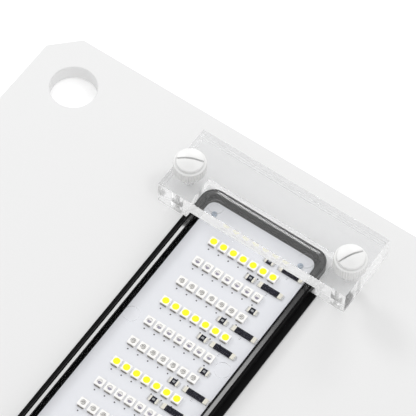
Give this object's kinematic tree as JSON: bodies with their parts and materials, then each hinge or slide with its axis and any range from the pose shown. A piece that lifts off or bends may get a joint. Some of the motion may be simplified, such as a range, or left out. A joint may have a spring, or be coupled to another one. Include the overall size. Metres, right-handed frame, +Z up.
{
  "type": "led aquarium light",
  "caption": "Flat LED lamp with a clear lens over a white board, clamped to a white panel with corner holes by clear brackets and knurled thumbscrews.",
  "frame": {"origin": "bottom centre of the square panel, on its back face", "axes": "+X across the lamp, +Y along the lamp towards its plain end (the cable entry is at -Y), +Z up, out of the lit face"},
  "size_m": [0.32, 0.325, 0.0365],
  "materials": {
    "panel_white": "satin white PVC sheet",
    "housing_black": "black anodised, satin outside, gloss rim",
    "gland_black": "moulded",
    "pad_grey": "soft thermal pad",
    "board_white": "white solder mask on aluminium core",
    "screw_steel": "plain",
    "led_package": "moulded cream white",
    "phosphor_yellow": "phosphor-filled silicone",
    "led_resin": "clear silicone",
    "violet_chip": "chip under resin",
    "blue_chip": "chip under resin",
    "contact_metal": "tinned",
    "test_point_metal": "tinned",
    "resistor_black": "coated ceramic",
    "resistor_cap": "tinned",
    "solder": "reflowed",
    "lead_red": "insulated wire",
    "lead_black": "insulated wire",
    "seal_black": "silicone",
    "bezel_black": "glossy black, bevelled",
    "lens_clear": "clear polished",
    "acrylic_clear": "clear, sawn edges",
    "nylon_white": "moulded nylon"
  },
  "bodies": {
    "root": {"base_panel": "panel_white", "lamp_housing": "housing_black", "cable_gland": "gland_black", "thermal_pad": "pad_grey", "circuit_board": "board_white", "board_screws": "screw_steel", "white_led_bodies": "led_package", "white_led_phosphors": "phosphor_yellow", "violet_led_bodies": "led_package", "violet_led_windows": "led_resin", "violet_led_chips": "violet_chip", "blue_led_bodies": "led_package", "blue_led_windows": "led_resin", "blue_led_chips": "blue_chip", "led_contacts": "contact_metal", "test_points": "test_point_metal", "short_resistor_bodies": "resistor_black", "short_resistor_caps": "resistor_cap", "long_resistor_bodies": "resistor_black", "long_resistor_caps": "resistor_cap", "solder_joints": "solder", "supply_lead_positive": "lead_red", "supply_lead_negative": "lead_black", "lead_terminals": "solder", "lens_seal": "seal_black", "lens_cover": "lens_clear", "lens_bezel": "bezel_black", "far_bracket_sheet": "acrylic_clear", "far_bracket_spacer": "acrylic_clear", "near_bracket_sheet": "acrylic_clear", "near_spacer_left": "acrylic_clear", "near_spacer_right": "acrylic_clear"},
    "thumbscrew_far_left_body": {"thumbscrew_far_left": "nylon_white"},
    "thumbscrew_far_right_body": {"thumbscrew_far_right": "nylon_white"},
    "thumbscrew_near_left_body": {"thumbscrew_near_left": "nylon_white"},
    "thumbscrew_near_right_body": {"thumbscrew_near_right": "nylon_white"}
  },
  "joints": [
    {"name": "turn_far_left", "type": "hinge", "parent": "root", "child": "thumbscrew_far_left_body", "pos_m": [-0.0486, 0.1202, 0.01], "axis": [0, 0, 1], "continuous": true},
    {"name": "turn_far_right", "type": "hinge", "parent": "root", "child": "thumbscrew_far_right_body", "pos_m": [0.0486, 0.1202, 0.01], "axis": [0, 0, 1], "continuous": true},
    {"name": "turn_near_left", "type": "hinge", "parent": "root", "child": "thumbscrew_near_left_body", "pos_m": [-0.0486, -0.1202, 0.01], "axis": [0, 0, 1], "continuous": true},
    {"name": "turn_near_right", "type": "hinge", "parent": "root", "child": "thumbscrew_near_right_body", "pos_m": [0.0486, -0.1202, 0.01], "axis": [0, 0, 1], "continuous": true}
  ]
}
